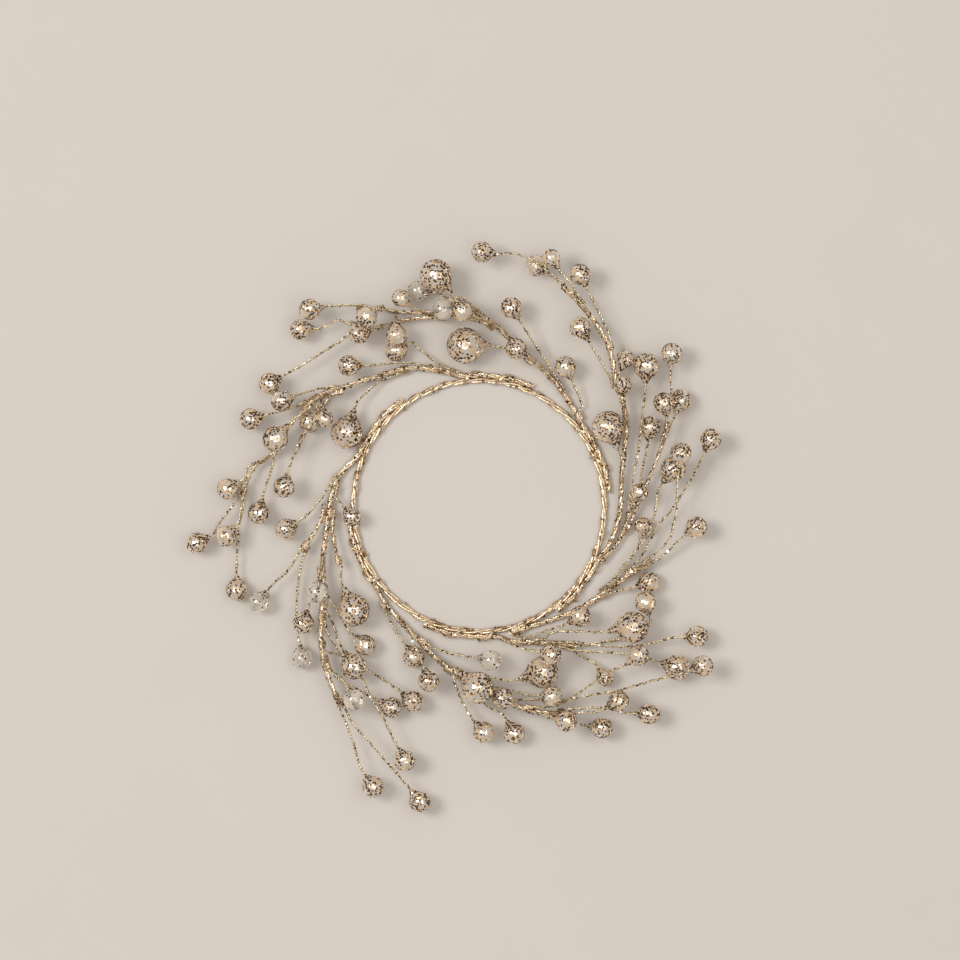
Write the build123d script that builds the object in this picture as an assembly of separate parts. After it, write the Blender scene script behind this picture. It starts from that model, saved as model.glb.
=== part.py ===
from build123d import *
import os
from collections import namedtuple
from math import cos, pi, radians, sin, sqrt

# A candle ring: a wire hoop that lies round a pillar candle, with seven sprays of foil-covered
# wire bound to it. Each spray sweeps counter-clockwise and outwards and ends in resin berries.
# The origin is the middle of the hoop on the table, +Z is up, and all lengths are millimetres.

# Hoop
candle_clear_diameter = 100.0
core_radius = 0.8
strand_radius = 0.45
strand_clearance = 0.28
binding_turns = 24
binding_start_bearing = 1.0
flat_depth = 0.45

# Sprays
spray_rise = 24.0
stem_radius = 1.25
branch_radius = 0.85
twig_radius = 0.48
tail_gap = 0.1
past_crossing_share = 0.27
root_gap = 0.1
root_run = 3.0
sample_step = 0.5
straight_share = 1e-6

# Berries, each mould as its body's diameter, and the length from its middle to its mouth
Mould = namedtuple("Mould", "diameter reach")
moulds = {
    "tiny": Mould(7.6, 5.4),
    "small": Mould(9.0, 6.2),
    "medium": Mould(10.8, 8.0),
    "large": Mould(13.6, 10.8),
    "giant": Mould(15.4, 11.4),
}
mouth_radius = 0.85
bore_clearance = 0.05
bore_floor_gap = 0.4
bore_depth_share = 0.75
neck_lead = 0.8
neck_angle = 40.0

# The photograph's frame: where the middle of the hoop is, and the radius of its wire
hoop_centre_px = (479.0, 506.0)
hoop_radius_px = 125.5

strand_reach = core_radius + strand_clearance + 2 * strand_radius
hoop_radius = candle_clear_diameter / 2 + strand_reach
hoop_height = strand_reach - flat_depth
tail_offset = core_radius + tail_gap + stem_radius
tail_lift = stem_radius - core_radius
mm_per_px = hoop_radius / hoop_radius_px

# A spray's tail lies along the hoop, under the binding, from one turn's outer side to another's.
# A place is x and y in the photograph's pixels and its height as a share of spray_rise.
# A branch is its name, its carrier, where it leaves that, and its route.
# A twig is its carrier, where it leaves that, its route, its berry's place, and the berry's mould.
# The last place of a twig's route is only what the berry's neck points at.
Spray = namedtuple("Spray", "name tail_turns stem_px_shares branches_px_shares twigs_px_shares")

top = Spray(
    "top",
    (0, 2),
    [
        (572, 407, 0.08), (558, 386, 0.12), (540, 367, 0.17), (520, 350, 0.22),
        (500, 330, 0.28), (480, 315, 0.33), (463, 305, 0.38), (453, 299, 0.41),
    ],
    [
        ("side", "stem", (496, 327), [
            (480, 321, 0.25), (462, 318, 0.24), (440, 315, 0.24), (416, 313, 0.24),
            (394, 312, 0.26), (374, 308, 0.29), (356, 308, 0.31),
        ]),
        ("low", "side", (446, 316), [
            (425, 318, 0.20), (407, 320, 0.19), (386, 326, 0.20), (371, 327, 0.21), (350, 323, 0.23),
        ]),
    ],
    [
        ("stem", (580, 420), [(582, 405, 0.14), (576, 390, 0.22)], (565, 367, 0.35), "small"),
        ("stem", (563, 393), [(545, 360, 0.26), (528, 334, 0.36)], (511, 308, 0.45), "small"),
        ("stem", (554, 381), [(541, 366, 0.34)], (516, 349, 0.50), "small"),
        ("stem", (534, 361), [(507, 347, 0.26)], (465, 346, 0.36), "giant"),
        ("stem", (508, 338), [(492, 324, 0.50), (477, 318, 0.66)], (462, 312, 0.75), "small"),
        ("stem", (484, 318), [(463, 304, 0.48)], (443, 310, 0.52), "clear"),
        ("stem", (478, 314), [(462, 298, 0.50), (449, 292, 0.54)], (436, 276, 0.56), "large"),
        ("stem", (475, 312), [(450, 300, 0.29), (437, 293, 0.22)], (418, 291, 0.20), "clear"),
        ("side", (432, 315), [(413, 308, 0.36)], (401, 299, 0.45), "tiny"),
        ("side", (396, 313), [(382, 306, 0.58)], (367, 318, 0.72), "small"),
        ("low", (390, 325), [(374, 331, 0.46)], (359, 334, 0.47), "small"),
        ("side", (366, 308), [(340, 306, 0.38), (325, 307, 0.44)], (310, 310, 0.50), "small"),
        ("low", (358, 325), [(338, 321, 0.30), (318, 329, 0.29)], (301, 330, 0.30), "small"),
        ("low", (412, 320), [(396, 321, 0.44)], (397, 336, 0.52), "small"),
        ("low", (372, 328), [(335, 345, 0.30), (308, 362, 0.34), (286, 375, 0.38)],
         (270, 384, 0.40), "small"),
    ],
)

upper_left = Spray(
    "upper_left",
    (4, 6),
    [
        (440, 371, 0.09), (416, 368, 0.12), (398, 370, 0.16), (380, 376, 0.20),
        (362, 381, 0.24), (346, 387, 0.28), (331, 390, 0.32), (318, 398, 0.36), (303, 409, 0.40),
    ],
    [
        ("inner", "stem", (342, 388), [
            (327, 402, 0.40), (316, 418, 0.44), (305, 433, 0.42), (298, 448, 0.40),
        ]),
        ("outer", "stem", (312, 403), [
            (293, 422, 0.29), (280, 440, 0.21), (269, 457, 0.18), (256, 466, 0.20),
            (248, 479, 0.22), (243, 496, 0.24),
        ]),
    ],
    [
        ("stem", (458, 374), [(437, 363, 0.16), (420, 350, 0.19), (409, 344, 0.20)],
         (396, 351, 0.20), "small"),
        ("stem", (444, 371), [(428, 365, 0.22), (400, 363, 0.30), (368, 366, 0.38)],
         (349, 366, 0.42), "small"),
        ("stem", (336, 389), [(318, 389, 0.44), (299, 395, 0.52)], (282, 401, 0.58), "small"),
        ("stem", (320, 397), [(292, 408, 0.36), (270, 414, 0.34)], (251, 419, 0.34), "small"),
        ("stem", (309, 405), [(293, 420, 0.46)], (276, 439, 0.52), "medium"),
        ("stem", (330, 391), [(320, 405, 0.25)], (310, 422, 0.20), "small"),
        ("inner", (326, 403), [(323, 408, 0.56)], (325, 419, 0.64), "tiny"),
        ("stem", (408, 369), [(382, 381, 0.14), (368, 391, 0.20), (357, 402, 0.26)],
         (347, 433, 0.32), "large"),
        ("inner", (304, 435), [(295, 455, 0.46), (289, 470, 0.47)], (285, 487, 0.50), "small"),
        ("outer", (268, 457), [(250, 466, 0.30), (243, 480, 0.36)], (228, 489, 0.38), "small"),
        ("outer", (276, 446), [(273, 465, 0.24), (266, 485, 0.26)], (259, 513, 0.30), "small"),
        ("outer", (246, 484), [(231, 508, 0.28), (218, 525, 0.30), (209, 537, 0.31)],
         (197, 543, 0.32), "small"),
        ("outer", (245, 489), [(241, 512, 0.34), (236, 526, 0.40)], (226, 536, 0.42), "small"),
        ("outer", (243, 493), [(243, 510, 0.20), (239, 530, 0.20), (237, 560, 0.20)],
         (237, 590, 0.22), "small"),
    ],
)

left = Spray(
    "left",
    (8, 10),
    [
        (340, 475, 0.08), (333, 492, 0.11), (329, 512, 0.15), (326, 537, 0.19),
        (323, 559, 0.23), (323, 577, 0.25), (323, 600, 0.28), (321, 621, 0.30), (322, 650, 0.32),
        (327, 672, 0.34), (336, 694, 0.36), (343, 708, 0.38),
    ],
    [
        ("outer", "stem", (330, 506), [(318, 527, 0.20), (310, 540, 0.22), (303, 552, 0.24)]),
        ("inner", "stem", (329, 510), [(333, 532, 0.20), (336, 550, 0.24), (338, 566, 0.28)]),
    ],
    [
        ("stem", (340, 476), [(320, 500, 0.17), (304, 518, 0.23)], (286, 529, 0.28), "small"),
        ("stem", (336, 485), [(340, 501, 0.26)], (352, 517, 0.33), "tiny"),
        ("outer", (309, 542), [(290, 568, 0.26), (269, 589, 0.28)], (259, 602, 0.30), "clear"),
        ("stem", (324, 556), [(322, 574, 0.44)], (318, 592, 0.56), "clear"),
        ("inner", (337, 556), [(341, 581, 0.32)], (354, 610, 0.40), "large"),
        ("stem", (323, 566), [(314, 592, 0.30), (308, 609, 0.38)], (304, 623, 0.45), "small"),
        ("outer", (306, 547), [(300, 573, 0.20), (297, 605, 0.20), (298, 635, 0.22)],
         (302, 658, 0.24), "clear"),
        ("stem", (323, 585), [(335, 607, 0.20), (343, 621, 0.18), (352, 634, 0.22)],
         (365, 645, 0.26), "small"),
        ("stem", (323, 600), [(332, 620, 0.36), (338, 641, 0.42)], (354, 666, 0.50), "medium"),
        ("stem", (325, 664), [(338, 675, 0.45), (347, 685, 0.49)], (354, 699, 0.53), "clear"),
        ("stem", (323, 655), [(338, 678, 0.30), (354, 687, 0.27), (370, 696, 0.28)],
         (391, 707, 0.30), "small"),
        ("stem", (321, 640), [(340, 655, 0.13), (366, 669, 0.16), (389, 683, 0.26), (400, 691, 0.30)],
         (413, 701, 0.34), "small"),
        ("stem", (322, 612), [(342, 655, 0.22), (362, 678, 0.25), (371, 697, 0.40), (383, 717, 0.42),
                              (396, 743, 0.42)], (405, 760, 0.42), "small"),
        ("stem", (335, 691), [(346, 722, 0.32), (355, 747, 0.34), (361, 769, 0.36)],
         (373, 786, 0.38), "small"),
        ("stem", (338, 697), [(352, 721, 0.44), (374, 746, 0.44), (398, 773, 0.40)],
         (420, 801, 0.36), "small"),
    ],
)

bottom = Spray(
    "bottom",
    (12, 14),
    [
        (385, 603, 0.06), (394, 614, 0.08), (403, 624, 0.11), (416, 637, 0.15), (434, 656, 0.21),
        (454, 671, 0.25), (478, 685, 0.27), (500, 698, 0.28), (516, 705, 0.30), (530, 710, 0.31),
        (550, 713, 0.33), (574, 712, 0.36),
    ],
    [],
    [
        ("stem", (383, 600), [(388, 618, 0.10), (397, 634, 0.13)], (414, 657, 0.23), "small"),
        ("stem", (398, 619), [(411, 637, 0.38), (420, 656, 0.48)], (429, 681, 0.44), "small"),
        ("stem", (418, 640), [(440, 650, 0.26), (456, 654, 0.30), (474, 657, 0.34)],
         (491, 660, 0.38), "clear"),
        ("stem", (438, 660), [(456, 669, 0.54)], (478, 687, 0.68), "large"),
        ("stem", (469, 680), [(491, 691, 0.40)], (503, 698, 0.53), "small"),
        ("stem", (446, 666), [(457, 689, 0.24), (463, 702, 0.27), (471, 717, 0.30)],
         (484, 732, 0.32), "small"),
        ("stem", (458, 674), [(472, 696, 0.20), (488, 706, 0.22), (504, 715, 0.25)],
         (514, 733, 0.30), "small"),
        ("stem", (454, 671), [(480, 674, 0.29), (500, 679, 0.30), (518, 679, 0.30)],
         (542, 672, 0.31), "large"),
        ("stem", (481, 687), [(502, 688, 0.31), (518, 692, 0.36), (534, 695, 0.42)],
         (552, 696, 0.50), "small"),
        ("stem", (528, 710), [(548, 715, 0.53)], (566, 720, 0.63), "small"),
        ("stem", (548, 713), [(566, 720, 0.32), (587, 725, 0.34)], (602, 727, 0.34), "small"),
        ("stem", (552, 713), [(578, 712, 0.46), (603, 709, 0.48)], (618, 700, 0.50), "small"),
        ("stem", (557, 713), [(600, 707, 0.355), (632, 713, 0.37)], (649, 713, 0.40), "small"),
        ("stem", (524, 708), [(552, 706, 0.36), (578, 697, 0.36), (618, 690, 0.37), (656, 679, 0.51),
                              (686, 671, 0.56)], (702, 665, 0.57), "small"),
        ("stem", (504, 700), [(528, 699, 0.26), (562, 701, 0.28), (594, 682, 0.40), (612, 670, 0.45),
                              (625, 664, 0.47)], (638, 655, 0.48), "small"),
    ],
)

lower_right = Spray(
    "lower_right",
    (16, 18),
    [
        (514, 642, 0.08), (532, 642, 0.11), (548, 643, 0.14), (567, 644, 0.17),
        (578, 648, 0.19),
    ],
    [],
    [
        ("stem", (500, 641), [(514, 645, 0.30), (527, 649, 0.46), (538, 651, 0.58)],
         (551, 654, 0.68), "small"),
        ("stem", (517, 642), [(540, 633, 0.18), (553, 628, 0.24), (566, 624, 0.32)],
         (580, 616, 0.40), "small"),
        ("stem", (533, 642), [(553, 632, 0.35), (571, 631, 0.38), (592, 633, 0.42)],
         (632, 627, 0.50), "large"),
        ("stem", (562, 644), [(584, 658, 0.18), (595, 663, 0.19)], (605, 677, 0.20), "tiny"),
        ("stem", (552, 643), [(574, 650, 0.28), (616, 653, 0.24), (640, 656, 0.22), (655, 661, 0.25)],
         (677, 667, 0.28), "medium"),
        ("stem", (548, 643), [(572, 642, 0.28), (610, 646, 0.30), (639, 645, 0.30), (678, 637, 0.32)],
         (697, 636, 0.34), "small"),
        ("stem", (571, 646), [(600, 642, 0.13), (630, 636, 0.14), (650, 619, 0.30)],
         (645, 602, 0.40), "small"),
    ],
)

right = Spray(
    "right",
    (18.66, 19),
    [
        (560, 617, 0.06), (575, 611, 0.07), (594, 600, 0.10), (607, 590, 0.13), (620, 581, 0.16),
        (638, 568, 0.20), (654, 556, 0.24),
    ],
    [],
    [
        ("stem", (600, 596), [(617, 591, 0.14), (632, 588, 0.18)], (649, 582, 0.21), "small"),
        ("stem", (640, 566), [(668, 551, 0.27), (681, 538, 0.36)], (696, 527, 0.42), "small"),
        ("stem", (610, 588), [(622, 569, 0.26), (640, 546, 0.30), (650, 530, 0.34),
                              (655, 510, 0.38), (660, 486, 0.42)], (673, 469, 0.46), "medium"),
        ("stem", (636, 569), [(666, 543, 0.40), (675, 515, 0.52), (676, 492, 0.68), (677, 474, 0.74)],
         (680, 453, 0.80), "small"),
        ("stem", (627, 576), [(646, 548, 0.22), (656, 528, 0.24), (674, 506, 0.30),
                              (696, 470, 0.40)], (710, 439, 0.48), "small"),
        ("stem", (602, 594), [(628, 560, 0.13), (640, 540, 0.15)], (643, 526, 0.18), "tiny"),
    ],
)

upper_right = Spray(
    "upper_right",
    (20.1, 22),
    [
        (608, 547, 0.07), (615, 531, 0.10), (620, 510, 0.13), (621, 490, 0.16),
        (622, 470, 0.19), (624, 450, 0.22), (626, 425, 0.25), (623, 404, 0.28), (616, 385, 0.30),
        (612, 360, 0.33), (606, 341, 0.36), (592, 319, 0.40), (575, 299, 0.45), (561, 286, 0.49),
    ],
    [
        ("outer", "stem", (597, 560), [
            (615, 547, 0.11), (622, 534, 0.145), (627, 519, 0.18), (629, 505, 0.21), (630, 493, 0.24),
        ]),
        ("fan", "outer", (620, 533), [
            (636, 508, 0.165), (643, 492, 0.17), (650, 475, 0.22), (657, 458, 0.30),
            (664, 438, 0.36), (669, 422, 0.40),
        ]),
    ],
    [
        ("stem", (621, 484), [(622, 458, 0.34)], (608, 427, 0.44), "large"),
        ("stem", (626, 420), [(624, 402, 0.42)], (622, 385, 0.53), "tiny"),
        ("stem", (619, 394), [(620, 372, 0.30)], (625, 359, 0.32), "tiny"),
        ("outer", (630, 500), [(633, 477, 0.30), (638, 450, 0.36), (642, 415, 0.40), (645, 390, 0.41)],
         (646, 366, 0.42), "medium"),
        ("fan", (668, 427), [(671, 400, 0.40), (670, 376, 0.42)], (671, 354, 0.45), "small"),
        ("fan", (662, 444), [(666, 420, 0.50)], (663, 403, 0.60), "small"),
        ("fan", (666, 432), [(675, 415, 0.30)], (680, 400, 0.24), "small"),
        ("fan", (641, 494), [(641, 476, 0.15), (645, 457, 0.18), (648, 442, 0.21)],
         (650, 427, 0.24), "small"),
        ("outer", (627, 524), [(632, 508, 0.36)], (639, 492, 0.46), "tiny"),
        ("stem", (616, 388), [(606, 371, 0.36), (597, 356, 0.38)], (580, 328, 0.44), "small"),
        ("stem", (609, 350), [(606, 328, 0.42), (597, 311, 0.46)], (580, 275, 0.50), "small"),
        ("stem", (582, 307), [(571, 285, 0.56), (562, 275, 0.60)], (551, 259, 0.62), "tiny"),
        ("stem", (566, 290), [(549, 274, 0.38)], (536, 266, 0.34), "small"),
        ("stem", (588, 314), [(566, 287, 0.55), (548, 273, 0.57), (532, 261, 0.58), (513, 254, 0.56), (499, 255, 0.52)],
         (482, 253, 0.50), "small"),
    ],
)

sprays = [top, upper_left, left, bottom, lower_right, right, upper_right]


def place(place_px_share):
    """A place in millimetres, from its pixels and its share of the spray's rise."""
    x_px, y_px, height_share = place_px_share
    return Vector(
        (x_px - hoop_centre_px[0]) * mm_per_px,
        (hoop_centre_px[1] - y_px) * mm_per_px,
        height_share * spray_rise,
    )


def on_hoop(bearing, outward, height):
    """A point beside the hoop's wire, from its bearing in degrees and its offsets from the wire."""
    radius = hoop_radius + outward
    return Vector(radius * cos(radians(bearing)), radius * sin(radians(bearing)), hoop_height + height)


def along_hoop(bearing):
    """The direction of the hoop's wire at a bearing."""
    return Vector(-sin(radians(bearing)), cos(radians(bearing)), 0)


def arc(start, tangent, end):
    """One arc that leaves start along tangent, or a straight run where the two lie in line."""
    chord = end - start
    if chord.cross(tangent).length < straight_share * chord.length:
        return Edge.make_line(start, end)
    return Edge.make_tangent_arc(start, tangent, end)


def biarc(start, start_tangent, end, end_tangent):
    """Two arcs that join two points and keep the direction at both."""
    chord = end - start
    both = start_tangent + end_tangent
    turned = 2 * (1 - start_tangent.dot(end_tangent))
    along = chord.dot(both)
    if turned < straight_share:
        lead = chord.dot(chord) / (2 * along)
    else:
        lead = (sqrt(along * along + turned * chord.dot(chord)) - along) / turned
    first_corner = start + start_tangent * lead
    second_corner = end - end_tangent * lead
    middle = (first_corner + second_corner) * 0.5
    middle_tangent = (second_corner - first_corner).normalized()
    return [arc(start, start_tangent, middle), arc(middle, middle_tangent, end)]


def chain(knots):
    """The arcs that join knots, each knot a point and the direction of the wire there."""
    edges = []
    for (start, start_tangent), (end, end_tangent) in zip(knots, knots[1:]):
        edges += biarc(start, start_tangent, end, end_tangent)
    return edges


def led_through(knots, points):
    """Knots carried on through free points, each turned towards its two neighbours."""
    knots = list(knots)
    for point, beyond in zip(points, points[1:]):
        before = knots[-1][0]
        knots.append((point, (beyond - before).normalized()))
    start, start_tangent = knots[-1]
    chord = (points[-1] - start).normalized()
    knots.append((points[-1], chord * (2 * chord.dot(start_tangent)) - start_tangent))
    return knots


def round_wire(edges, radius):
    """A round wire along edges, cut square at both ends."""
    section = Plane(origin=edges[0] @ 0, z_dir=edges[0] % 0) * Circle(radius)
    return sweep(section, path=Wire(edges)).solid()


def samples(edges):
    """Points along edges about sample_step apart, each with its direction."""
    found = []
    for edge in edges:
        count = max(2, int(edge.length / sample_step))
        found += [(edge @ (i / count), edge % (i / count)) for i in range(count)]
    found.append((edges[-1] @ 1, edges[-1] % 1))
    return found


def root_knots(carrier, leave_px, towards, offset):
    """The start of a wire that lies beside its carrier for root_run before it leaves."""
    leave = place((*leave_px, 0))
    first = min(
        range(len(carrier)),
        key=lambda i: (carrier[i][0].X - leave.X) ** 2 + (carrier[i][0].Y - leave.Y) ** 2,
    )
    last = first
    while last < len(carrier) - 1 and (carrier[last][0] - carrier[first][0]).length < root_run:
        last += 1
    if last == len(carrier) - 1:
        while first > 0 and (carrier[last][0] - carrier[first][0]).length < root_run:
            first -= 1
    knots = []
    for point, tangent in (carrier[first], carrier[last]):
        side = towards - carrier[last][0]
        side = (side - tangent * side.dot(tangent)).normalized()
        knots.append((point + side * offset, tangent))
    return knots


def tail_bearings(spray):
    """The bearings between which a spray's tail lies beside the hoop, in degrees."""
    turn = 360 / binding_turns
    return [binding_start_bearing + (count + past_crossing_share) * turn for count in spray.tail_turns]


def tail_beside(bearing):
    """Whether a spray's tail lies beside the hoop at a bearing."""
    for spray in sprays:
        low, high = tail_bearings(spray)
        if low <= bearing <= high:
            return True
    return False


def binding_knots():
    """The strand's way round the hoop and the tails, with a knot each quarter of a turn."""
    inner = core_radius + strand_clearance + strand_radius
    outer = stem_radius + strand_clearance + strand_radius
    places = []
    for quarter in range(4 * binding_turns + 2):
        bearing = binding_start_bearing + quarter * 360 / (4 * binding_turns)
        double = tail_beside(bearing)
        around = [
            (tail_offset + outer, tail_lift) if double else (inner, 0),
            (tail_offset, tail_lift + outer) if double else (0, inner),
            (-inner, 0),
            (tail_offset / 2, -inner) if double else (0, -inner),
        ][quarter % 4]
        outward = Vector(cos(radians(bearing)), sin(radians(bearing)), 0)
        turning = [Vector(0, 0, 1), outward * -1, Vector(0, 0, -1), outward][quarter % 4]
        places.append((on_hoop(bearing, *around), along_hoop(bearing), turning))
    knots = []
    for before, (point, forward, turning), after in zip(places, places[1:], places[2:]):
        step = after[0] - before[0]
        direction = turning * (step.dot(turning) * pi / 4) + forward * (step.dot(forward) / 2)
        knots.append((point, direction.normalized()))
    return knots


def least_self_gap(edges, radius):
    """The least gap between two stretches of one strand that are half a turn or more apart."""
    points = [point for point, _ in samples(edges)]
    turn = len(points) // binding_turns
    least = min(
        (points[i] - points[j]).length
        for i in range(len(points))
        for j in range(i + turn // 2, min(i + 2 * turn, len(points)))
    )
    return least - 2 * radius


def make_core():
    """The hoop's wire, a closed ring."""
    ring = Plane.XZ * Pos(hoop_radius, hoop_height) * Circle(core_radius)
    return revolve(ring, Axis.Z).solid()


def make_binding():
    """The foil strand wound round the hoop, cut flat where it stands on the table."""
    edges = chain(binding_knots())
    print("binding: least gap to itself", round(least_self_gap(edges, strand_radius), 2))
    strand = round_wire(edges, strand_radius)
    span = 2 * (hoop_radius + strand_reach + stem_radius)
    table = Pos(0, 0, -strand_reach) * Box(span, span, 2 * strand_reach)
    return max((strand - table).solids(), key=lambda solid: solid.volume)


def stem_edges(spray):
    """A stem's way: along the hoop inside the binding, then out and up."""
    tail = [
        (on_hoop(bearing, tail_offset, tail_lift), along_hoop(bearing))
        for bearing in tail_bearings(spray)
    ]
    return chain(led_through(tail, [place(p) for p in spray.stem_px_shares]))


def make_berry(mould):
    """A drop with a drawn-out neck on +Z and a blind bore for its twig, round the origin."""
    radius = mould.diameter / 2
    bore_radius = twig_radius + bore_clearance
    floor = mould.reach * (1 - bore_depth_share)
    tangent = (-cos(radians(neck_angle)), sin(radians(neck_angle)))
    shoulder = (radius * sin(radians(neck_angle)), radius * cos(radians(neck_angle)))
    body = ThreePointArc((0, -radius), (radius, 0), shoulder)
    neck = TangentArc(shoulder, (mouth_radius, mould.reach), tangent=tangent)
    bore = Polyline(
        (mouth_radius, mould.reach), (bore_radius, mould.reach), (bore_radius, floor), (0, floor),
        (0, -radius),
    )
    outline = Plane.XZ * make_face(Curve() + [body, neck, bore])
    return revolve(outline, Axis.Z).solid()


def twig_edges(carrier, carrier_radius, twig):
    """A twig's way, from beside its carrier into its berry's bore, and the berry's place."""
    _, leave_px, route, berry_place, mould_name = twig
    mould = mould_size(mould_name)
    centre = place(berry_place)
    points = [place(p) for p in route]
    axis = (points[-1] - centre).normalized()
    mouth = centre + axis * (mould.reach + neck_lead)
    floor = centre + axis * (mould.reach * (1 - bore_depth_share) + bore_floor_gap)
    offset = carrier_radius + root_gap + twig_radius
    knots = root_knots(carrier, leave_px, points[0], offset)
    knots = led_through(knots, points[:-1] + [mouth])[:-1]
    knots.append((mouth, axis * -1))
    return chain(knots) + [Edge.make_line(mouth, floor)], Plane(origin=centre, z_dir=axis)


def mould_size(mould_name):
    """A clear berry comes from the small mould."""
    return moulds["small" if mould_name == "clear" else mould_name]


def make_spray(spray):
    """One spray: its stem, branches, twigs and berries, each list of solids under its node's name."""
    edges = stem_edges(spray)
    nodes = {"stem": [round_wire(edges, stem_radius)]}
    carriers = {"stem": (samples(edges), stem_radius)}
    for name, carrier_name, leave_px, route in spray.branches_px_shares:
        carrier, carrier_radius = carriers[carrier_name]
        points = [place(p) for p in route]
        offset = carrier_radius + root_gap + branch_radius
        edges = chain(led_through(root_knots(carrier, leave_px, points[0], offset), points))
        nodes.setdefault("branches", []).append(round_wire(edges, branch_radius))
        carriers[name] = (samples(edges), branch_radius)
    for twig in spray.twigs_px_shares:
        edges, seat = twig_edges(*carriers[twig[0]], twig)
        nodes.setdefault("twigs", []).append(round_wire(edges, twig_radius))
        node = {"large": "large_berries", "giant": "large_berries", "clear": "clear_berries"}
        berry = seat.location * berries[twig[-1]]
        nodes.setdefault(node.get(twig[-1], "berries"), []).append(berry)
    return {f"{spray.name}_{node}": solids for node, solids in nodes.items()}


def write(name, solids):
    """Writes one node's solids to its own file."""
    export_step(Compound(children=solids) if len(solids) > 1 else solids[0], f"parts/{name}.step")


os.makedirs("parts", exist_ok=True)
berries = {name: make_berry(mould_size(name)) for name in [*moulds, "clear"]}
write("hoop_core", [make_core()])
write("hoop_binding", [make_binding()])
for spray in sprays:
    for name, solids in make_spray(spray).items():
        write(name, solids)
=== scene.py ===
import logging
from dataclasses import dataclass
from enum import Enum
from heapq import heappop, heappush
from math import atan2, cos, pi, radians, sin, sqrt
from typing import Any

import bpy
import numpy as np
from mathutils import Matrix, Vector


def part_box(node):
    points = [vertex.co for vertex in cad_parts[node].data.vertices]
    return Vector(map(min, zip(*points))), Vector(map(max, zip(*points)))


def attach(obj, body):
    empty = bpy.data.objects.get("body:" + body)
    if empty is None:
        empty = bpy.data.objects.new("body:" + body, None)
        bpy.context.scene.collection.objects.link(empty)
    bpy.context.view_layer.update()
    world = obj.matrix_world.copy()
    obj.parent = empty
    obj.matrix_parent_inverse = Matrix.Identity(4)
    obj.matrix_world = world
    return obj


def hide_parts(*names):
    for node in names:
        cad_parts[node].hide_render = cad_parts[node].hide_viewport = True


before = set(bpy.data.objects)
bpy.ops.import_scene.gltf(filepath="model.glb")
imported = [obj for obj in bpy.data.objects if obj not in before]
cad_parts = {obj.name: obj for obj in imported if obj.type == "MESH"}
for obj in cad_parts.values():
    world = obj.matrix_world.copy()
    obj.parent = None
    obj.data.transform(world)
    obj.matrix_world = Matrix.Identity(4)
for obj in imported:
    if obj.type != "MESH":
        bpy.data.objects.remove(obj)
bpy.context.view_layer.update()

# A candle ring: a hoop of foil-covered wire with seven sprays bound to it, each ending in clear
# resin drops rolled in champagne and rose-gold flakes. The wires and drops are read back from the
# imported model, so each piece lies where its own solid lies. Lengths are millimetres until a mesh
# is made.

log = logging.getLogger("candle_ring")

MM = 0.001
BODY = "root"
TINY = 1e-12
UP = np.array((0.0, 0.0, 1.0))
ACROSS = np.array((1.0, 0.0, 0.0))

# Square directions are taken from UP or ACROSS, whichever is far enough from the line: a wire
# whose lean from UP is below the first number, or a drop whose lean to ACROSS is above the
# second, takes the other one.
UPRIGHT = 0.1
STEEP = 0.8

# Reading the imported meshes: corners are merged at so many decimals, and a wire's corners are
# averaged in cells and then in rings along it. Those on the table are left out. A wire's end face
# is sought within so many radii of its end, and a drop is widest at its waist.
WELD_DECIMALS = 3
CELL = 0.2
RING_GAP = 0.12
RING_SPAN = 0.5
FLAT_GUARD = 0.02
END_REACH = 1.7
WAIST_SHARE = 0.98

# Attributes: each strand's number is kept well apart from the next, so that no two share facets,
# and a flake's tone is dark below the first number, gold above the second and rose at the third.
STRAND = "strand"
STRAND_APART = 40.0
TONE = "tone"
DARK_TONES = 0.2
PALE_TONES = 0.26
ROSE_TONE = 0.6

# Shapes
TIP_SHARE = 0.3
THINNEST, THICKEST = 0.75, 1.15
LUMP_SHARE = 0.02
LUMP_WAVES = 1.8
STRAY_STEP = 0.5
GOLDEN_TURN = pi * (3 - sqrt(5))

Colour = tuple[float, float, float]


# Shader maths


class Value:
    """One output of a shader node, on which Python's operators add Math nodes."""

    def __init__(self, shader: "Shader", output: bpy.types.NodeSocket) -> None:
        """Keeps the output and the shader that new nodes are added to."""
        self.shader = shader
        self.output = output

    def _maths(self, operation: str, first: Any, second: Any) -> "Value":
        """The result of one more Math node on two numbers or values."""
        return self.shader.node("ShaderNodeMath", {"operation": operation}, {0: first, 1: second})

    def __add__(self, other: Any) -> "Value":
        """This value plus another."""
        return self._maths("ADD", self, other)

    __radd__ = __add__

    def __sub__(self, other: Any) -> "Value":
        """This value less another."""
        return self._maths("SUBTRACT", self, other)

    def __rsub__(self, other: Any) -> "Value":
        """Another value less this one."""
        return self._maths("SUBTRACT", other, self)

    def __mul__(self, other: Any) -> "Value":
        """This value times another."""
        return self._maths("MULTIPLY", self, other)

    __rmul__ = __mul__

    def clipped(self) -> "Value":
        """This value held between 0 and 1."""
        return self.shader.node("ShaderNodeClamp", {}, {0: self})

    def above(self, other: Any) -> "Value":
        """1 where this value is the greater, and 0 elsewhere."""
        return self._maths("GREATER_THAN", self, other)


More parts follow.
